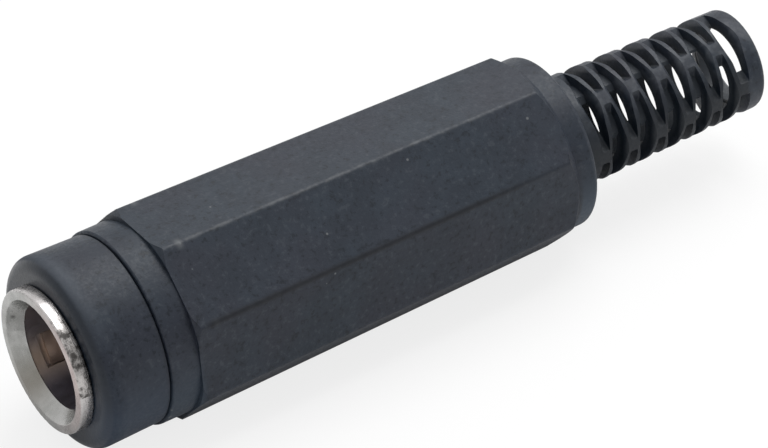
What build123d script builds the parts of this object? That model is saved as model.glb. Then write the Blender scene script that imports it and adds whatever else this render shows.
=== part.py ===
from build123d import *
from math import cos, radians, tan
import os

# In-line socket for a barrel plug, in millimetres.
# X runs along the axis from the mouth to the cable end, and the origin is the centre of the mouth.
# The grip lies on one flat, and Z points up.
# Angles round the axis start at -Y and turn towards +Z.

# Gaps between pieces that slide together, measured on the radius
slip_gap = 0.05
press_gap = 0.01
edge_break = 0.12

# How far a cutting shape reaches past what it cuts
cutter_margin = 1.0

# Mouth sleeve, the outer contact
socket_bore = 6.0
rim_inner_diameter = 7.15
flange_diameter = 8.25
flange_thickness = 0.84
flange_edge_radius = 0.12
rim_edge_radius = 0.08
countersink_depth = 0.8
sleeve_wall = 0.6
socket_depth = 9.6
web_hole_diameter = 3.8
tenon_wall = 1.2
rolled_lip_height = 0.3
rolled_lip_thickness = 0.25

# Front collar
collar_step = 0.11
collar_length = 3.95
nose_inset = 0.95
nose_length = 1.2
thread_diameter = 9.2
shank_length = 7.6

# Centre pin and its insulators
pin_diameter = 2.1
pin_setback = 3.0
pin_tip_radius = 0.7
pin_shank_diameter = 1.5
bush_flange_thickness = 0.8
washer_diameter = 5.8
washer_thickness = 0.5
rivet_head_diameter = 2.4
rivet_head_height = 0.4

# Contact spring, a bowed leaf in a groove of the bore
spring_angle = 209.0
spring_width = 1.8
spring_thickness = 0.2
spring_bow = 0.45
spring_bend_radius = 6.0
spring_foot_length = 1.0
spring_start = 1.8
groove_depth = 0.3
groove_margin = 0.4

# Solder tags and cable clamp
tag_thickness = 0.4
tag_bend_radius = 0.5
sleeve_tag_diameter = 8.2
sleeve_tag_width = 2.6
sleeve_tag_reach = 3.6
sleeve_tag_length = 3.0
joggle_length = 1.5
clamp_bore = 4.6
clamp_length = 4.0
clamp_gap = 1.5
clamp_wing_height = 1.6
solder_hole_diameter = 1.0
pin_tag_diameter = 3.4
pin_tag_width = 1.6
pin_tag_rise = 2.2
pin_tag_length = 4.2

# Handle: band, octagonal grip and shoulder
band_step = 0.1
band_edge_radius = 0.12
band_length = 1.71
grip_sides = 8
grip_across_flats = 11.32
grip_draft = 1.09
grip_length = 24.9
grip_corner_radius = 0.3
grip_end_bevel = 0.3
shoulder_step = 0.19
shoulder_length = 1.2
shoulder_edge_radius = 0.3
cavity_diameter = 8.6
cavity_end_margin = 2.0
funnel_length = 2.0
thread_runout = 0.6

# Strain relief
relief_front_diameter = 6.5
relief_rear_diameter = 5.92
relief_root_radius = 0.3
relief_bore = 4.8
cable_bore = 4.4
cable_bore_bevel = 0.2
neck_length = 1.43
slot_width = 0.68
slot_pitch = 0.96
slot_columns = 11
slots_per_column = 3
slot_half_angle = 53.0
slot_side_draft = 0.08
slot_corner_radius = 0.1
slot_flare_width = 0.28
slot_flare_depth = 0.45
runout_columns = 9
runout_depth = 0.55
runout_turn = 20.0
through_half_angle = 48.7
bridge_angle = 116.0
last_slot_width = 0.82
last_slot_turn = 6.0
end_ring_length = 1.05
end_ring_edge_radius = 0.3

# Radii
bore_radius = socket_bore / 2
tube_radius = bore_radius + sleeve_wall
web_hole_radius = web_hole_diameter / 2
tenon_radius = web_hole_radius + tenon_wall
lip_radius = tenon_radius + rolled_lip_height
thread_radius = thread_diameter / 2
pin_radius = pin_diameter / 2
pin_shank_radius = pin_shank_diameter / 2
grip_apothem = grip_across_flats / 2
rear_apothem = grip_apothem - grip_length * tan(radians(grip_draft))
band_radius = grip_apothem - band_step
collar_radius = band_radius - collar_step
shoulder_radius = rear_apothem - shoulder_step
relief_front_radius = relief_front_diameter / 2
relief_rear_radius = relief_rear_diameter / 2
relief_bore_radius = relief_bore / 2
cable_radius = cable_bore / 2

# Places along the axis
collar_rear = flange_thickness + collar_length
shank_rear = collar_rear + shank_length
sleeve_tag_rear = shank_rear + tag_thickness
sleeve_rear = sleeve_tag_rear + rolled_lip_thickness
bush_front = socket_depth
web_front = bush_front + bush_flange_thickness
washer_rear = sleeve_rear + washer_thickness
pin_tag_rear = washer_rear + tag_thickness
band_rear = collar_rear + band_length
grip_rear = band_rear + grip_length
shoulder_rear = grip_rear + shoulder_length
first_slot = shoulder_rear + neck_length + slot_width / 2
ring_width = slot_pitch - slot_width
last_slot_front = first_slot + (slot_columns - 2) * slot_pitch + slot_width / 2 + ring_width
last_slot = last_slot_front + last_slot_width / 2
end_ring_front = last_slot_front + last_slot_width
relief_rear = end_ring_front + end_ring_length


def turned(*edges):
    """A solid of revolution about the X axis, from the edges of a closed profile in X and radius."""
    return revolve(make_face(Wire(list(edges))), Axis.X)


def turned_polygon(points):
    """A solid of revolution about the X axis, from the corners of its profile."""
    return revolve(make_face(Polyline(*points, close=True)), Axis.X)


def disc(start, end, outer, inner):
    """A flat ring between two places along the axis."""
    return turned_polygon([(start, inner), (end, inner), (end, outer), (start, outer)])


def rod(start, end, radius):
    """A plain cylinder along the axis."""
    return Pos((start + end) / 2, 0, 0) * Rot(0, 90, 0) * Cylinder(radius, end - start)


def nearest_circle(shape, x, radius):
    """The round edge of a shape that lies nearest to a place and a radius."""
    circles = shape.edges().filter_by(GeomType.CIRCLE)
    return circles.sort_by(lambda e: abs(e.center().X - x) + abs(e.radius - radius))[0]


def about_axis(shape, angle):
    """Turns a shape that points down, towards -Z, to an angle round the axis."""
    return Rot(-(angle + 90), 0, 0) * shape


def strip(points, radii, thickness, width):
    """A bent strip: a centre line in X and Z, thickened in its plane and as wide as given along Y."""
    line = FilletPolyline(*points, radius=radii)
    section = trace(line, thickness)
    standing = Rot(90, 0, 0) * section
    return extrude(standing, width / 2, both=True)


def make_mouth_sleeve():
    rim_radius = rim_inner_diameter / 2
    flange_radius = flange_diameter / 2
    body = turned_polygon([
        (0, rim_radius),
        (countersink_depth, bore_radius),
        (web_front, bore_radius),
        (web_front, web_hole_radius),
        (sleeve_rear, web_hole_radius),
        (sleeve_rear, lip_radius),
        (sleeve_tag_rear, lip_radius),
        (sleeve_tag_rear, tenon_radius),
        (shank_rear, tenon_radius),
        (shank_rear, tube_radius),
        (flange_thickness, tube_radius),
        (flange_thickness, flange_radius),
        (0, flange_radius),
    ])
    body = fillet(nearest_circle(body, 0, flange_radius), flange_edge_radius)
    body = fillet(nearest_circle(body, flange_thickness, flange_radius), flange_edge_radius)
    body = fillet(nearest_circle(body, 0, rim_radius), rim_edge_radius)
    groove_start = spring_start - groove_margin
    groove_width = spring_width + 2 * slip_gap
    groove_reach = bore_radius + groove_depth
    groove_length = web_front - groove_start
    groove = Box(groove_length, groove_width, groove_reach, align=(Align.MIN, Align.CENTER, Align.MAX))
    return body - about_axis(Pos(groove_start, 0, 0) * groove, spring_angle)


def make_contact_spring():
    seat = bore_radius + groove_depth - spring_thickness / 2 - press_gap
    foot_front = web_front - spring_foot_length
    points = [
        (spring_start, -seat),
        ((spring_start + foot_front) / 2, -(seat - spring_bow)),
        (foot_front, -seat),
        (web_front - press_gap, -seat),
    ]
    radii = [spring_bend_radius, spring_bend_radius / 2]
    return about_axis(strip(points, radii, spring_thickness, spring_width), spring_angle)


def make_front_collar():
    face_radius = collar_radius - nose_inset
    nose_rear = flange_thickness + nose_length
    inner = tube_radius + press_gap
    corner = (flange_thickness, face_radius)
    crown = (nose_rear, collar_radius)
    rear_edge = (collar_rear - edge_break, collar_radius)
    return turned(
        Line((flange_thickness, inner), corner),
        TangentArc(crown, corner, tangent=(-1, 0)),
        Line(crown, rear_edge),
        Line(rear_edge, (collar_rear, collar_radius - edge_break)),
        Line((collar_rear, collar_radius - edge_break), (collar_rear, thread_radius)),
        Line((collar_rear, thread_radius), (shank_rear - edge_break, thread_radius)),
        Line((shank_rear - edge_break, thread_radius), (shank_rear, thread_radius - edge_break)),
        Line((shank_rear, thread_radius - edge_break), (shank_rear, inner)),
        Line((shank_rear, inner), (flange_thickness, inner)),
    )


def make_pin_bush():
    flange = disc(bush_front, web_front, bore_radius - slip_gap, pin_shank_radius)
    body = disc(web_front, sleeve_rear, web_hole_radius - slip_gap, pin_shank_radius)
    return flange + body


def make_rear_washer():
    return disc(sleeve_rear, washer_rear, washer_diameter / 2, pin_shank_radius)


def make_centre_pin():
    tip = rod(pin_setback, bush_front, pin_radius)
    tip_edge = tip.edges().filter_by(GeomType.CIRCLE).sort_by(Axis.X)[0]
    tip = fillet(tip_edge, pin_tip_radius)
    shank = rod(bush_front, pin_tag_rear, pin_shank_radius)
    head = rod(pin_tag_rear, pin_tag_rear + rivet_head_height, rivet_head_diameter / 2)
    head_edge = head.edges().filter_by(GeomType.CIRCLE).sort_by(Axis.X)[-1]
    head = fillet(head_edge, rivet_head_height / 2)
    return tip + shank + head


def make_pin_tag():
    middle = pin_tag_rear - tag_thickness / 2
    washer = rod(washer_rear, pin_tag_rear, pin_tag_diameter / 2)
    tongue = strip(
        [(middle, 0), (middle, pin_tag_rise), (middle + pin_tag_length, pin_tag_rise)],
        tag_bend_radius,
        tag_thickness,
        pin_tag_width,
    )
    eye = Pos(middle + pin_tag_length - solder_hole_diameter, 0, pin_tag_rise)
    eye_hole = eye * Cylinder(solder_hole_diameter / 2, 2 * tag_thickness)
    shank_hole = rod(washer_rear, pin_tag_rear, pin_shank_radius)
    return washer + tongue - eye_hole - shank_hole


def make_sleeve_tag():
    middle = sleeve_tag_rear - tag_thickness / 2
    cradle_radius = clamp_bore / 2
    cradle_middle = cradle_radius + tag_thickness / 2
    joggle_front = middle + sleeve_tag_length
    joggle_rear = joggle_front + joggle_length
    clamp_front = joggle_rear + clamp_gap
    clamp_rear = clamp_front + clamp_length
    ring = disc(shank_rear, sleeve_tag_rear, sleeve_tag_diameter / 2, tenon_radius)
    cut_size = (2 * tag_thickness, sleeve_tag_diameter, cutter_margin)
    flat_cut = Box(*cut_size, align=(Align.CENTER, Align.CENTER, Align.MAX))
    ring -= Pos(middle, 0, -(sleeve_tag_reach + tag_thickness / 2)) * flat_cut
    tongue = strip(
        [
            (middle, -tenon_radius),
            (middle, -sleeve_tag_reach),
            (joggle_front, -sleeve_tag_reach),
            (joggle_rear, -cradle_middle),
            (clamp_rear, -cradle_middle),
        ],
        [tag_thickness / 2, tag_bend_radius, tag_bend_radius],
        tag_thickness,
        sleeve_tag_width,
    )
    tongue -= rod(joggle_rear, clamp_rear, cradle_radius)
    trough = disc(clamp_front, clamp_rear, cradle_radius + tag_thickness, cradle_radius)
    above = Box(clamp_length, 2 * clamp_bore, clamp_bore, align=(Align.MIN, Align.CENTER, Align.MIN))
    trough -= Pos(clamp_front, 0, 0) * above
    wing = Box(clamp_length, tag_thickness, clamp_wing_height, align=(Align.MIN, Align.CENTER, Align.MIN))
    for side in (-1, 1):
        trough += Pos(clamp_front, side * cradle_middle, 0) * wing
    eye = Pos(joggle_front - solder_hole_diameter, 0, -sleeve_tag_reach)
    eye_hole = eye * Cylinder(solder_hole_diameter / 2, 2 * tag_thickness)
    tenon_hole = rod(shank_rear, sleeve_tag_rear, tenon_radius)
    return ring + tongue + trough - eye_hole - tenon_hole


def make_octagon_grip():
    """The eight flats, drawn in towards the cable end and bevelled round at both ends."""
    half_side = 180 / grip_sides
    front_corner = grip_apothem / cos(radians(half_side))
    rear_corner = rear_apothem / cos(radians(half_side))
    rear_core = shoulder_radius - edge_break
    outline = RegularPolygon(front_corner, grip_sides, rotation=half_side)
    prism = extrude(Pos(band_rear, 0, 0) * Rot(0, 90, 0) * outline, grip_length, taper=grip_draft)
    corners = prism.edges().filter_by(lambda e: e.bounding_box().size.X > grip_length / 2)
    prism = fillet(corners, grip_corner_radius)
    envelope = turned_polygon([
        (band_rear, 0),
        (band_rear, front_corner - grip_end_bevel),
        (band_rear + grip_end_bevel, front_corner),
        (grip_rear - (rear_corner - rear_core), rear_corner),
        (grip_rear, rear_core),
        (grip_rear, 0),
    ])
    return prism & envelope


def relief_radius(x):
    """The outside radius of the tapered relief at a place along the axis."""
    along = (x - shoulder_rear) / (relief_rear - shoulder_rear)
    return relief_front_radius + along * (relief_rear_radius - relief_front_radius)


def make_slot_blade(x, width):
    """A straight blade that cuts one slot from below: flat tip, drafted sides and flared mouth."""
    surface = relief_radius(x)
    reach = surface + cutter_margin
    tip = surface * cos(radians(slot_half_angle))
    throat = surface - slot_flare_depth
    mouth = width / 2 + slot_flare_width
    tip_side = width / 2 - slot_side_draft
    tip_flat = tip_side - slot_corner_radius
    profile = Wire([
        Line((-tip_flat, -tip), (tip_flat, -tip)),
        TangentArc((tip_flat, -tip), (tip_side, -tip - slot_corner_radius), tangent=(1, 0)),
        Line((tip_side, -tip - slot_corner_radius), (width / 2, -throat)),
        TangentArc((width / 2, -throat), (mouth, -surface), tangent=(0, -1)),
        Line((mouth, -surface), (mouth, -reach)),
        Line((mouth, -reach), (-mouth, -reach)),
        Line((-mouth, -reach), (-mouth, -surface)),
        TangentArc((-width / 2, -throat), (-mouth, -surface), tangent=(0, -1)),
        Line((-width / 2, -throat), (-tip_side, -tip - slot_corner_radius)),
        TangentArc((-tip_flat, -tip), (-tip_side, -tip - slot_corner_radius), tangent=(-1, 0)),
    ])
    blade = extrude(Rot(90, 0, 0) * make_face(profile), reach, both=True)
    return Pos(x, 0, 0) * blade


def make_runout_core(x):
    """What stays of the wall under a slot where it runs out shallow towards one end."""
    surface = relief_radius(x)
    reach = surface + cutter_margin
    core = rod(x - slot_pitch, x + slot_pitch, surface - runout_depth)
    opening = Box(2 * slot_pitch, 2 * reach, reach, align=(Align.CENTER, Align.CENTER, Align.MAX))
    opening = Pos(x, 0, -surface * cos(radians(through_half_angle))) * opening
    return core - Rot(runout_turn, 0, 0) * opening


def cut_slots(body, cutter, first_angle):
    """Cuts one column of slots, whose middles start at an angle and go evenly round."""
    for k in range(slots_per_column):
        body -= about_axis(cutter, first_angle + k * 360 / slots_per_column)
    return body


def make_handle():
    round_body = turned_polygon([
        (collar_rear, 0),
        (collar_rear, band_radius),
        (band_rear, band_radius),
        (band_rear, shoulder_radius),
        (shoulder_rear, shoulder_radius),
        (shoulder_rear, relief_front_radius),
        (relief_rear, relief_rear_radius),
        (relief_rear, 0),
    ])
    round_body = fillet(nearest_circle(round_body, collar_rear, band_radius), band_edge_radius)
    round_body = fillet(nearest_circle(round_body, shoulder_rear, shoulder_radius), shoulder_edge_radius)
    round_body = fillet(nearest_circle(round_body, shoulder_rear, relief_front_radius), relief_root_radius)
    round_body = fillet(nearest_circle(round_body, relief_rear, relief_rear_radius), end_ring_edge_radius)
    body = round_body + make_octagon_grip()

    thread_end = shank_rear + thread_runout
    cavity_radius = cavity_diameter / 2
    funnel_rear = shoulder_rear - cavity_end_margin + funnel_length
    body -= turned_polygon([
        (collar_rear, 0),
        (collar_rear, thread_radius + slip_gap),
        (thread_end, thread_radius + slip_gap),
        (thread_end, cavity_radius),
        (funnel_rear - funnel_length, cavity_radius),
        (funnel_rear, relief_bore_radius),
        (end_ring_front, relief_bore_radius),
        (end_ring_front, cable_radius),
        (relief_rear - cable_bore_bevel, cable_radius),
        (relief_rear, cable_radius + cable_bore_bevel),
        (relief_rear, 0),
    ])

    half_step = 180 / slots_per_column
    middle_angle = bridge_angle + half_step
    for column in range(slot_columns - 1):
        x = first_slot + column * slot_pitch
        cutter = make_slot_blade(x, slot_width)
        if column < runout_columns:
            cutter -= make_runout_core(x)
        body = cut_slots(body, cutter, middle_angle + (column % 2) * half_step)
    last_angle = middle_angle + ((slot_columns - 1) % 2) * half_step + last_slot_turn
    return cut_slots(body, make_slot_blade(last_slot, last_slot_width), last_angle)


PIECES = {
    "handle": make_handle,
    "front_collar": make_front_collar,
    "mouth_sleeve": make_mouth_sleeve,
    "contact_spring": make_contact_spring,
    "centre_pin": make_centre_pin,
    "pin_bush": make_pin_bush,
    "rear_washer": make_rear_washer,
    "sleeve_tag": make_sleeve_tag,
    "pin_tag": make_pin_tag,
}

os.makedirs("parts", exist_ok=True)
for name, make in PIECES.items():
    piece = make()
    piece.label = name
    export_step(piece, f"parts/{name}.step")
    print(name, round(piece.volume, 3), piece.is_valid, len(piece.solids()))
print("overall length", round(relief_rear, 3))
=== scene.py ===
import bmesh
import bpy
from math import cos, radians, sin
from mathutils import Matrix, Vector


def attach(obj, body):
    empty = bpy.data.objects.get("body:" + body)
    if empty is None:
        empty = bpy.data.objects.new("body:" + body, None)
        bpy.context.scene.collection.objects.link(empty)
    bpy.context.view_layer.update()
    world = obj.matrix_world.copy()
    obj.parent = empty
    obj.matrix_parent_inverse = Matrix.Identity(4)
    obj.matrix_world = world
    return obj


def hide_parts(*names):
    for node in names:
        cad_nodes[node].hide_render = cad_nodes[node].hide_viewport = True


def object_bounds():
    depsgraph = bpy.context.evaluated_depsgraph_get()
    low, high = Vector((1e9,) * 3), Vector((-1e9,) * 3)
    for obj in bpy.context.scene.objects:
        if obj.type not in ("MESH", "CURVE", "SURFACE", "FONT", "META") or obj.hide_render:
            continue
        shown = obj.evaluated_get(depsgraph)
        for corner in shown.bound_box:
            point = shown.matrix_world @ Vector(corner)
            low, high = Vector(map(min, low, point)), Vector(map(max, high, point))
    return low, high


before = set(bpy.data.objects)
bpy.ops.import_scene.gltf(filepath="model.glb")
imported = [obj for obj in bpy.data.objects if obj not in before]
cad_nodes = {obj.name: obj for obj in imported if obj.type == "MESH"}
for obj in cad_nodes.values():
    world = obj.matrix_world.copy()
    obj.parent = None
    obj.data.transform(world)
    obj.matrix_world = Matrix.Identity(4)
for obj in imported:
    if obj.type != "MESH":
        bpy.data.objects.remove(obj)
cad_low, cad_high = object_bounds()

MM = 0.001

# The picture
PICTURE_WIDTH = 768
SENSOR_WIDTH = 36.0

# Where the camera stands: angles in degrees, lengths in millimetres, offsets in pixels
CAMERA_AZIMUTH = -30.696
CAMERA_ELEVATION = 35.388
CAMERA_ROLL = -4.789
CAMERA_DISTANCE = 287.993
CAMERA_FOCUS = 5304.190
CAMERA_OFFSET = (-29.584, -0.930)
CAMERA_TARGET = Vector((19.841, 0.0, 0.0))

# The light: powers are in watts or shares of white, and lengths in millimetres
LAMP_DIRECTION = (0.45, 0.17, 0.88)
LAMP_DISTANCE = 350
LAMP_SIZE = 280
LAMP_POWER = 1.0
ROOM_LIGHT = 0.62
FRONT_MIRRORED = 0.45
FLOOR_REACH = 3000
FLOOR_TONE = 0.9
FLOOR_SEEN_GLOW = 0.8
FLOOR_MIRRORED_GLOW = 0.1

# Places on the part in millimetres, along the axis or out from it
COUNTERSINK_DEPTH = 0.8
FLANGE_RADIUS = 4.12
RIM_INNER_RADIUS = 3.58
INNER_WALL = 3.3
OUTER_WALL = 3.5
NOSE_TONE_END = 1.2
SEAM = 4.79
GRIP_FRONT = 6.5
GRIP_REAR = 31.4
# Where the grip's corner wear, painted highlight and painted edge shade fade out towards the rear
WEAR_AND_HIGHLIGHT_FADE = 24.0
EDGE_RADIUS = 6.0
RELIEF_FRONT = 32.6
RELIEF_RADIUS = 3.0
RING_FRONT = 44.45

# The front collar's own outline in millimetres: blunter at the nose than its solid, and with a slight draft.
# The last three are the degrees from one point of the nose to the next, the points in a turn,
# and the degrees between two faces from which their edge is sharp.
COLLAR_FRONT = 0.84
COLLAR_FACE_RADIUS = 4.74
NOSE_REAR = 1.6
COLLAR_RADIUS = 5.5
COLLAR_REAR_RADIUS = 5.41
COLLAR_BORE_RADIUS = 3.61
SHANK_RADIUS = 4.6
SHANK_REAR = 12.39
EDGE_BREAK = 0.12
NOSE_STEP = 6
TURNS = 144
SHARP_ANGLE = 35

# Angles round the axis in degrees: 0 faces the front of the picture and 90 faces up
EDGE_SPACING = 45.0
# The upper side, which gets a painted highlight on the grip corners and on the collar
UPPER_HIGHLIGHT_ANGLE = 80.0
# The grip corner painted dark as shade
SHADED_EDGE_ANGLE = 22.5
# The side of the relief whose crests are painted lighter as a highlight
RELIEF_CREST_HIGHLIGHT_ANGLE = 60.0
RIM_GLEAM_ANGLE = 15.0
STAIN_ANGLE = 214.0
SPRING_ANGLE = 211.0
UNDERSIDE_ANGLE = 333.0
RELIEF_SHADE_ANGLE = 355.0
CONE_STAIN_ANGLE = 232.0
CONE_GLEAM_ANGLE = 292.0

# A nick in the mouth's cone: place along the axis, angle round it, distance from it
NICK = (0.3, 162.0, 3.36)

# Pale specks on the handle: place along the axis, angle round it, distance from it, size
SPECKS = (
    (21.9, 61.0, 5.60, 0.10),
    (29.5, 56.0, 5.34, 0.11),
    (15.7, 41.0, 5.50, 0.09),
    (15.2, 20.0, 5.82, 0.09),
    (10.8, 84.0, 5.60, 0.08),
    (7.8, 67.0, 6.02, 0.14),
    (4.95, -36.0, 5.53, 0.15),
    (4.85, -27.0, 5.53, 0.10),
)


class Graph:
    """A material's nodes, with short calls for the ones used here."""

    def __init__(self, name, world=None):
        self.material = world or bpy.data.materials.new(name)
        self.material.use_nodes = True
        self.tree = self.material.node_tree
        self.tree.nodes.clear()
        self.out = self.tree.nodes.new("ShaderNodeOutputWorld" if world else "ShaderNodeOutputMaterial")

    def node(self, kind, settings=None, **inputs):
        """Adds a node; a socket given as an input is linked and any other value is set."""
        made = self.tree.nodes.new(kind)
        for key, value in (settings or {}).items():
            setattr(made, key, value)
        for key, value in inputs.items():
            self.put(made.inputs[key.replace("_", " ")], value)
        return made

    def put(self, socket, value):
        if isinstance(value, bpy.types.NodeSocket):
            self.tree.links.new(value, socket)
        else:
            socket.default_value = value

    def math(self, operation, first, second=0.0):
        made = self.node("ShaderNodeMath", {"operation": operation})
        for socket, value in zip(made.inputs, (first, second)):
            self.put(socket, value)
        return made.outputs[0]

    def times(self, *factors):
        """The product of some values."""
        product = factors[0]
        for factor in factors[1:]:
            product = self.math("MULTIPLY", product, factor)
        return product

    def either(self, *values):
        """The highest of some values."""
        highest = values[0]
        for value in values[1:]:
            highest = self.math("MAXIMUM", highest, value)
        return highest

    def vector(self, operation, first, second):
        made = self.node("ShaderNodeVectorMath", {"operation": operation})
        self.put(made.inputs[0], first)
        self.put(made.inputs[1], second)
        return made.outputs["Value" if operation == "DISTANCE" else "Vector"]

    def ramp(self, value, low, high, start=0.0, end=1.0):
        """A smooth step of a value from one level to another."""
        made = self.node("ShaderNodeMapRange", {"interpolation_type": "SMOOTHSTEP"})
        levels = {"Value": value, "From Min": low, "From Max": high, "To Min": start, "To Max": end}
        for key, level in levels.items():
            self.put(made.inputs[key], level)
        return made.outputs["Result"]

    def hump(self, value, middle, reach):
        """1 where a value is at its middle, falling to 0 at its reach on either side."""
        return self.ramp(self.math("ABSOLUTE", self.math("SUBTRACT", value, middle)), 0.0, reach, 1.0, 0.0)

    def facing(self, angle, middle, reach):
        """1 at an angle round the axis, falling to 0 at its reach on either side, all in degrees."""
        turned = self.math("MODULO", self.math("ADD", angle, 540.0 - middle), 360.0)
        return self.hump(turned, 180.0, reach)

    def noise(self, where, size, detail=2.0, roughness=0.5):
        """Clouds of a size given in millimetres."""
        clouds = self.node(
            "ShaderNodeTexNoise", Vector=where, Scale=1 / (size * MM), Detail=detail, Roughness=roughness
        )
        return clouds.outputs[0]

    def dots(self, where, spacing, size):
        """Scattered round dots; spacing and size in millimetres."""
        cells = self.node("ShaderNodeTexVoronoi", Vector=where, Scale=1 / (spacing * MM))
        return self.ramp(cells.outputs["Distance"], 0.6 * size / spacing, size / spacing, 1.0, 0.0)

    def blend(self, share, first, second):
        """A colour between two colours."""
        made = self.node("ShaderNodeMix", {"data_type": "RGBA"})
        self.put(made.inputs["Factor"], share)
        colours = [socket for socket in made.inputs if socket.type == "RGBA"]
        for socket, value in zip(colours, (first, second)):
            self.put(socket, value)
        return [socket for socket in made.outputs if socket.type == "RGBA"][0]

    def place(self):
        """The place on the part: as a vector in metres, then along, out from and round the axis."""
        where = self.node("ShaderNodeTexCoord").outputs["Object"]
        split = self.node("ShaderNodeSeparateXYZ", Vector=where).outputs
        along = self.math("MULTIPLY", split["X"], 1 / MM)
        across = self.node("ShaderNodeCombineXYZ", Y=split["Y"], Z=split["Z"]).outputs[0]
        out = self.math("MULTIPLY", self.vector("DISTANCE", across, (0.0, 0.0, 0.0)), 1 / MM)
        turn = self.math("ARCTAN2", split["Z"], self.math("MULTIPLY", split["Y"], -1.0))
        round_axis = self.math("MODULO", self.math("ADD", self.math("DEGREES", turn), 360.0), 360.0)
        return where, along, out, round_axis

    def bump(self, height, distance):
        return self.node("ShaderNodeBump", Height=height, Distance=distance * MM, Strength=1.0).outputs[0]

    def finish(self, **inputs):
        shader = self.node("ShaderNodeBsdfPrincipled", **inputs)
        self.tree.links.new(shader.outputs["BSDF"], self.out.inputs["Surface"])
        return self.material


def tone(red, green, blue):
    """A colour from its three linear levels in thousandths."""
    return (red / 1000, green / 1000, blue / 1000, 1.0)


def on_part(along, angle, out):
    """A place on the part in metres."""
    turn = radians(angle)
    return tuple(Vector((along, -out * cos(turn), out * sin(turn))) * MM)


def moulded_plastic(g, where):
    """Blue-black moulded plastic: the clouded colour, the roughness and the height of its matt grain."""
    cloud = g.noise(where, 1.7, 3.0, 0.55)
    blotch = g.noise(where, 0.36, 3.0, 0.65)
    drift = g.noise(where, 4.5, 2.0)
    grain = g.noise(where, 0.17, 3.0, 0.6)
    colour = g.blend(g.ramp(cloud, 0.32, 0.68), tone(11, 17, 27), tone(16, 24, 36))
    colour = g.blend(g.ramp(drift, 0.35, 0.7, 0.0, 0.5), colour, tone(19, 20, 31))
    colour = g.blend(g.ramp(blotch, 0.46, 0.32, 0.0, 0.75), colour, tone(2, 5, 10))
    colour = g.blend(g.ramp(blotch, 0.54, 0.7, 0.0, 0.4), colour, tone(48, 56, 68))
    colour = g.blend(g.ramp(grain, 0.55, 0.8, 0.0, 0.3), colour, tone(40, 47, 58))
    roughness = g.ramp(grain, 0.3, 0.7, 0.42, 0.56)
    return colour, roughness, grain


def handle_plastic():
    """The handle: pale worn grip corners with a painted highlight on the upper and front corners, painted
    shade along one front corner, pale specks, undersides of the rounds painted paler as light from below,
    and painted shade on the ribs and in the slots of the relief with a painted highlight on its upper
    crests.
    """
    g = Graph("handle_plastic")
    where, along, out, angle = g.place()
    colour, roughness, grain = moulded_plastic(g, where)
    turns = g.math("FRACT", g.math("DIVIDE", angle, EDGE_SPACING))
    off_edge = g.math("ABSOLUTE", g.math("SUBTRACT", turns, 0.5))
    from_edge = g.times(off_edge, radians(EDGE_SPACING) * EDGE_RADIUS)
    on_grip = g.times(
        g.ramp(along, GRIP_FRONT + 0.2, GRIP_FRONT + 1.2),
        g.ramp(along, WEAR_AND_HIGHLIGHT_FADE, GRIP_REAR, 1.0, 0.1),
    )
    broken = g.ramp(g.noise(where, 0.6, 3.0), 0.4, 0.66, 0.1, 1.0)
    # Pale worn grip corners, strongest on the upper corners, where the paler tone is a painted highlight
    upper_highlight = g.ramp(g.facing(angle, UPPER_HIGHLIGHT_ANGLE, 60.0), 0.1, 0.6, 0.12, 1.0)
    corner_wear_and_highlight = g.times(g.ramp(from_edge, 0.04, 0.22, 0.36, 0.0), on_grip, broken, upper_highlight)
    # Painted shade: a dark line along the grip corner that faces the front
    painted_edge_shade = g.times(g.ramp(from_edge, 0.05, 0.3, 0.8, 0.0), on_grip, g.facing(angle, SHADED_EDGE_ANGLE, 10.0))
    # Painted highlight on the corners just behind the front of the grip
    at_front = g.hump(along, GRIP_FRONT + 1.25, 0.35)
    front_edge_highlight = g.times(at_front, g.ramp(from_edge, 0.0, 0.5, 0.75, 0.0), upper_highlight)
    specks = [
        g.ramp(g.vector("DISTANCE", where, on_part(x, a, r)), 0.4 * size * MM, size * MM, 1.0, 0.0)
        for x, a, r, size in SPECKS
    ]
    dust = g.times(g.dots(where, 2.6, 0.06), g.ramp(g.noise(where, 5.0), 0.5, 0.6))
    wear_and_highlight = g.either(corner_wear_and_highlight, front_edge_highlight, *specks, dust)
    on_band = g.ramp(along, GRIP_FRONT, GRIP_FRONT + 0.3, 0.6, 0.0)
    on_shoulder = g.times(
        g.ramp(along, GRIP_REAR, GRIP_REAR + 0.2),
        g.ramp(along, RELIEF_FRONT, RELIEF_FRONT + 0.2, 1.0, 0.0),
    )
    on_rounds = g.either(on_band, on_shoulder)
    # Painted light from below: the undersides of the band and the shoulder are paler
    colour = g.blend(g.times(on_rounds, g.facing(angle, UNDERSIDE_ANGLE, 48.0)), colour, tone(30, 45, 66))
    # Painted shade along the front corner of the grip
    colour = g.blend(painted_edge_shade, colour, tone(3, 4, 7))
    # Pale specks, dust and worn corners, with painted highlights on the upper and front corners
    colour = g.blend(wear_and_highlight, colour, tone(105, 112, 120))
    on_relief = g.ramp(along, RELIEF_FRONT + 0.2, RELIEF_FRONT + 0.8)
    in_slots = g.ramp(out, RELIEF_RADIUS - 0.5, RELIEF_RADIUS - 0.2, 1.0, 0.0)
    # Painted highlight on the relief's crests on the upper side
    crest_highlight = g.times(g.facing(angle, RELIEF_CREST_HIGHLIGHT_ANGLE, 45.0), broken, 0.4)
    on_ribs = g.times(on_relief, g.ramp(along, RING_FRONT - 0.3, RING_FRONT, 1.0, 0.0))
    # Painted shade on the front-facing side of the relief's ribs
    colour = g.blend(g.times(on_ribs, g.facing(angle, RELIEF_SHADE_ANGLE, 80.0), 0.9), colour, tone(2, 5, 9))
    # Painted shade in the slots of the relief
    colour = g.blend(g.times(on_relief, in_slots), colour, tone(24, 30, 38))
    outside_slots = g.math("SUBTRACT", 1.0, in_slots)
    colour = g.blend(g.times(on_relief, crest_highlight, outside_slots), colour, tone(90, 98, 110))
    return g.finish(
        Base_Color=colour,
        Roughness=roughness,
        Specular_IOR_Level=0.3,
        Normal=g.bump(grain, 0.012),
    )


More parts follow.
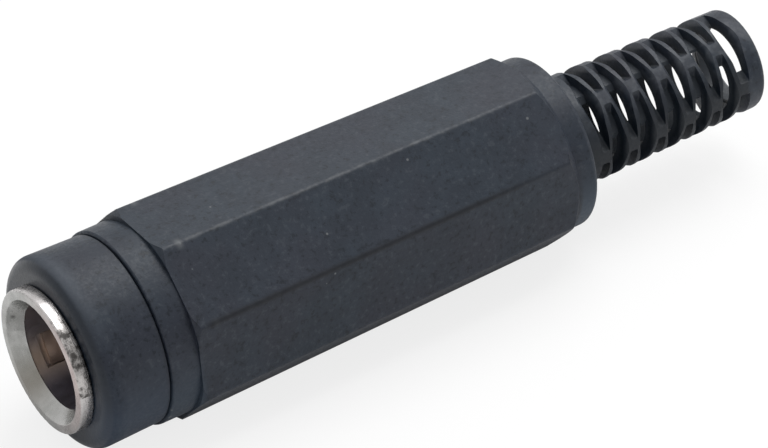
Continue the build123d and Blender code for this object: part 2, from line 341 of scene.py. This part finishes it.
def collar_plastic():
    """The front collar: a smooth nose painted darker as shade, a matt body with a painted highlight on its
    upper side behind the nose, undersides painted paler as light from below, and darker towards the seam.
    """
    g = Graph("collar_plastic")
    where, along, _, angle = g.place()
    colour, roughness, grain = moulded_plastic(g, where)
    on_body = g.ramp(along, NOSE_TONE_END - 0.15, NOSE_TONE_END + 0.1)
    highlight_band = g.times(on_body, g.ramp(along, NOSE_TONE_END + 0.3, NOSE_TONE_END + 1.1, 1.0, 0.0))
    above = g.facing(angle, UPPER_HIGHLIGHT_ANGLE, 55.0)
    # Painted shade: the nose is darker than the body
    colour = g.blend(on_body, g.blend(0.75, colour, tone(5, 9, 16)), colour)
    # Painted highlight on the upper side of the body just behind the nose, which is also rougher there
    colour = g.blend(g.times(highlight_band, above, 0.75), colour, tone(66, 76, 92))
    # Painted light from below: the underside is paler
    colour = g.blend(g.times(g.facing(angle, UNDERSIDE_ANGLE, 48.0), 0.6), colour, tone(28, 42, 68))
    smoother = g.times(roughness, g.ramp(on_body, 0.0, 1.0, 0.7, 1.0))
    roughness = g.math("ADD", smoother, g.times(highlight_band, 0.18))
    # Darker towards the seam
    at_seam = g.ramp(along, SEAM - 0.35, SEAM, 0.0, 0.5)
    colour = g.blend(at_seam, colour, tone(10, 12, 16))
    return g.finish(
        Base_Color=colour,
        Roughness=roughness,
        Specular_IOR_Level=0.3,
        Normal=g.bump(grain, 0.009),
    )


def mouth_plating():
    """Nickel over turned brass: dull grey cone, bright rim, spotted wall and a dark, stained bore whose
    lower side is painted darker and bluer as shade.
    """
    g = Graph("mouth_plating")
    where, along, out, angle = g.place()
    cloud = g.ramp(g.noise(where, 1.3, 3.0, 0.6), 0.3, 0.7)
    spots = g.noise(where, 0.42, 3.0, 0.65)
    turned = g.noise(g.vector("MULTIPLY", where, (8.0, 1.0, 1.0)), 0.5, 2.0)
    face = g.blend(cloud, tone(290, 292, 280), tone(410, 408, 400))
    face = g.blend(g.times(g.facing(angle, CONE_STAIN_ANGLE, 38.0), 0.8), face, tone(170, 158, 135))
    face = g.blend(g.times(g.facing(angle, CONE_GLEAM_ANGLE, 36.0), 0.6), face, tone(450, 445, 440))
    nick = g.ramp(g.vector("DISTANCE", where, on_part(*NICK)), 0.0, 0.24 * MM, 0.8, 0.0)
    face = g.blend(nick, face, tone(90, 88, 86))
    wall = g.blend(g.ramp(spots, 0.36, 0.6), tone(95, 90, 86), tone(480, 460, 448))
    wall = g.blend(g.ramp(angle, 55.0, 75.0), wall, tone(520, 500, 495))
    rim = g.blend(cloud, tone(370, 300, 290), tone(520, 445, 430))
    rim = g.blend(g.facing(angle, RIM_GLEAM_ANGLE, 110.0), face, rim)
    stain = g.facing(angle, STAIN_ANGLE, 34.0)
    # Painted shade: the lower side of the bore is darker and bluer
    bore = g.blend(g.ramp(angle, 225.0, 255.0), tone(410, 365, 375), tone(230, 215, 255))
    bore = g.blend(stain, bore, tone(480, 370, 295))
    in_bore = g.times(
        g.ramp(along, COUNTERSINK_DEPTH, COUNTERSINK_DEPTH + 0.1),
        g.ramp(out, OUTER_WALL, INNER_WALL),
    )
    colour = g.blend(g.ramp(out, RIM_INNER_RADIUS - 0.06, RIM_INNER_RADIUS + 0.02), face, rim)
    colour = g.blend(g.ramp(out, FLANGE_RADIUS - 0.1, FLANGE_RADIUS - 0.02), colour, wall)
    behind_cone = g.ramp(along, COUNTERSINK_DEPTH - 0.02, COUNTERSINK_DEPTH + 0.04)
    colour = g.blend(behind_cone, colour, g.blend(g.ramp(out, INNER_WALL, OUTER_WALL), bore, wall))
    return g.finish(
        Base_Color=colour,
        Metallic=g.ramp(g.times(in_bore, stain), 0.0, 1.0, 1.0, 0.45),
        Roughness=g.math("ADD", g.ramp(spots, 0.3, 0.7, 0.3, 0.2), g.times(in_bore, 0.22)),
        Normal=g.bump(turned, 0.006),
    )


def plain_plating(name, dull, bright):
    """Plating with fine turning marks and dull patches."""
    g = Graph(name)
    where = g.place()[0]
    patches = g.noise(where, 0.7, 3.0)
    marks = g.noise(g.vector("MULTIPLY", where, (12.0, 1.0, 1.0)), 0.5, 2.0)
    return g.finish(
        Base_Color=g.blend(patches, dull, bright),
        Metallic=1.0,
        Roughness=g.ramp(patches, 0.3, 0.7, 0.16, 0.34),
        Normal=g.bump(marks, 0.006),
    )


def spring_bronze():
    """Tarnished spring bronze, darker towards its sides."""
    g = Graph("spring_bronze")
    where, _, _, angle = g.place()
    patches = g.noise(where, 0.8, 3.0)
    colour = g.blend(patches, tone(560, 410, 320), tone(760, 590, 480))
    colour = g.blend(g.facing(angle, SPRING_ANGLE, 24.0), tone(260, 205, 175), colour)
    return g.finish(
        Base_Color=colour,
        Metallic=1.0,
        Roughness=g.ramp(patches, 0.3, 0.7, 0.3, 0.5),
        Normal=g.bump(g.noise(where, 0.1), 0.003),
    )


def pressed_board():
    """Brown pressed board with short fibres."""
    g = Graph("pressed_board")
    where = g.place()[0]
    fibres = g.noise(where, 0.3, 4.0)
    return g.finish(
        Base_Color=g.blend(fibres, tone(200, 100, 50), tone(420, 260, 150)),
        Roughness=g.ramp(fibres, 0.3, 0.7, 0.6, 0.8),
        Normal=g.bump(fibres, 0.02),
    )


def bush_plastic():
    """Plain black plastic round the pin's foot."""
    g = Graph("bush_plastic")
    where = g.place()[0]
    cloud = g.noise(where, 1.0, 2.0)
    return g.finish(
        Base_Color=g.blend(cloud, tone(18, 18, 20), tone(34, 34, 36)),
        Roughness=g.ramp(cloud, 0.3, 0.7, 0.4, 0.55),
        Normal=g.bump(g.noise(where, 0.15), 0.01),
    )


def dress(material, *names):
    """Gives nodes of the solid model their material."""
    for name in names:
        mesh = cad_nodes[name].data
        mesh.materials.clear()
        mesh.materials.append(material)


def turned_piece(name, outline):
    """A closed piece turned round the axis from its outline, a loop of places along and out from it."""
    mesh = bpy.data.meshes.new(name)
    build = bmesh.new()
    rings = [
        [build.verts.new(on_part(along, 360 * k / TURNS, out)) for along, out in outline]
        for k in range(TURNS)
    ]
    for k in range(TURNS):
        for j in range(len(outline)):
            build.faces.new((rings[k - 1][j - 1], rings[k - 1][j], rings[k][j], rings[k][j - 1]))
    bmesh.ops.recalc_face_normals(build, faces=build.faces)
    build.to_mesh(mesh)
    build.free()
    mesh.shade_smooth()
    mesh.set_sharp_from_angle(angle=radians(SHARP_ANGLE))
    piece = bpy.data.objects.new(name, mesh)
    bpy.context.scene.collection.objects.link(piece)
    return piece


def make_collar():
    """The front collar: a blunt rounded nose, a body that narrows a little to the seam, and the shank."""
    length, height = NOSE_REAR - COLLAR_FRONT, COLLAR_RADIUS - COLLAR_FACE_RADIUS
    nose = [
        (NOSE_REAR - length * cos(radians(a)), COLLAR_FACE_RADIUS + height * sin(radians(a)))
        for a in range(0, 91, NOSE_STEP)
    ]
    rear = [
        (SEAM - EDGE_BREAK, COLLAR_REAR_RADIUS),
        (SEAM, COLLAR_REAR_RADIUS - EDGE_BREAK),
        (SEAM, SHANK_RADIUS),
        (SHANK_REAR - EDGE_BREAK, SHANK_RADIUS),
        (SHANK_REAR, SHANK_RADIUS - EDGE_BREAK),
        (SHANK_REAR, COLLAR_BORE_RADIUS),
        (COLLAR_FRONT, COLLAR_BORE_RADIUS),
    ]
    collar = turned_piece("collar_body", nose + rear)
    collar.data.materials.append(collar_plastic())
    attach(collar, "root")
    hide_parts("front_collar")


def make_camera():
    a, e, r = (radians(v) for v in (CAMERA_AZIMUTH, CAMERA_ELEVATION, CAMERA_ROLL))
    back = Vector((sin(a) * cos(e), -cos(a) * cos(e), sin(e)))
    right = Vector((cos(a), sin(a), 0.0))
    up = back.cross(right)
    right, up = right * cos(r) + up * sin(r), up * cos(r) - right * sin(r)
    aside = [offset * CAMERA_DISTANCE / CAMERA_FOCUS for offset in CAMERA_OFFSET]
    position = CAMERA_TARGET + back * CAMERA_DISTANCE - right * aside[0] - up * aside[1]
    camera = bpy.data.objects.new("camera", bpy.data.cameras.new("camera"))
    camera.data.sensor_width = SENSOR_WIDTH
    camera.data.lens = CAMERA_FOCUS / PICTURE_WIDTH * SENSOR_WIDTH
    camera.data.clip_start = 0.01
    camera.data.clip_end = 20.0
    turn = Matrix((right, up, back)).transposed().to_4x4()
    camera.matrix_world = Matrix.Translation(position * MM) @ turn
    bpy.context.scene.collection.objects.link(camera)
    bpy.context.scene.camera = camera


def make_lamp(name, direction, distance, size, strength):
    """A soft square lamp that looks at the middle of the part; distance and size in millimetres."""
    data = bpy.data.lights.new(name, "AREA")
    data.size = size * MM
    data.energy = strength
    lamp = bpy.data.objects.new(name, data)
    towards = Vector(direction).normalized()
    lamp.location = (CAMERA_TARGET + towards * distance) * MM
    lamp.rotation_mode = "QUATERNION"
    lamp.rotation_quaternion = towards.to_track_quat("Z", "Y")
    bpy.context.scene.collection.objects.link(lamp)


def mirrored_rays(g, path):
    """1 for rays that see the background by a mirror or through glass, and 0 for the rest."""
    return g.either(path["Is Glossy Ray"], path["Is Transmission Ray"])


def make_world():
    """A room that looks white and lights the object softly.

    Seen in a mirror it dims towards the front, though never below the level at which it lights the object.
    """
    world = bpy.data.worlds.new("studio")
    bpy.context.scene.world = world
    g = Graph("studio", world)
    direction = g.node("ShaderNodeTexCoord").outputs["Generated"]
    towards = g.node("ShaderNodeSeparateXYZ", Vector=direction).outputs
    in_front = g.math("MULTIPLY", towards["Y"], -1.0)
    path = g.node("ShaderNodeLightPath").outputs
    dimmed = g.ramp(in_front, 0.6, 0.88, 1.0, FRONT_MIRRORED)
    mirrored = g.times(mirrored_rays(g, path), dimmed)
    strength = g.either(path["Is Camera Ray"], mirrored, ROOM_LIGHT)
    sky = g.node("ShaderNodeBackground", Color=(1.0, 1.0, 1.0, 1.0), Strength=strength)
    g.tree.links.new(sky.outputs[0], g.out.inputs["Surface"])


def make_floor():
    """A wide white floor that shows white and keeps a soft shadow."""
    reach = FLOOR_REACH * MM
    mesh = bpy.data.meshes.new("floor")
    corners = [(-reach, -reach), (reach, -reach), (reach, reach), (-reach, reach)]
    mesh.from_pydata([(x, y, cad_low.z) for x, y in corners], [], [(0, 1, 2, 3)])
    floor = bpy.data.objects.new("floor", mesh)
    bpy.context.scene.collection.objects.link(floor)
    g = Graph("floor")
    matt = g.node("ShaderNodeBsdfDiffuse", Color=(FLOOR_TONE, FLOOR_TONE, FLOOR_TONE, 1.0))
    glow = g.node("ShaderNodeEmission", Color=(1.0, 1.0, 1.0, 1.0), Strength=1.0)
    path = g.node("ShaderNodeLightPath").outputs
    share = g.either(
        g.times(path["Is Camera Ray"], FLOOR_SEEN_GLOW),
        g.times(mirrored_rays(g, path), FLOOR_MIRRORED_GLOW),
    )
    mixed = g.node("ShaderNodeMixShader", Fac=share)
    g.tree.links.new(matt.outputs[0], mixed.inputs[1])
    g.tree.links.new(glow.outputs[0], mixed.inputs[2])
    g.tree.links.new(mixed.outputs[0], g.out.inputs["Surface"])
    mesh.materials.append(g.material)


dress(handle_plastic(), "handle")
make_collar()
dress(mouth_plating(), "mouth_sleeve")
dress(plain_plating("pin_plating", tone(500, 480, 460), tone(680, 665, 650)), "centre_pin")
dress(plain_plating("tin_plating", tone(550, 550, 545), tone(700, 700, 695)), "sleeve_tag", "pin_tag")
dress(spring_bronze(), "contact_spring")
dress(bush_plastic(), "pin_bush")
dress(pressed_board(), "rear_washer")

make_camera()
make_world()
make_floor()
make_lamp("key", LAMP_DIRECTION, LAMP_DISTANCE, LAMP_SIZE, LAMP_POWER)

bpy.context.scene.view_settings.view_transform = "Standard"
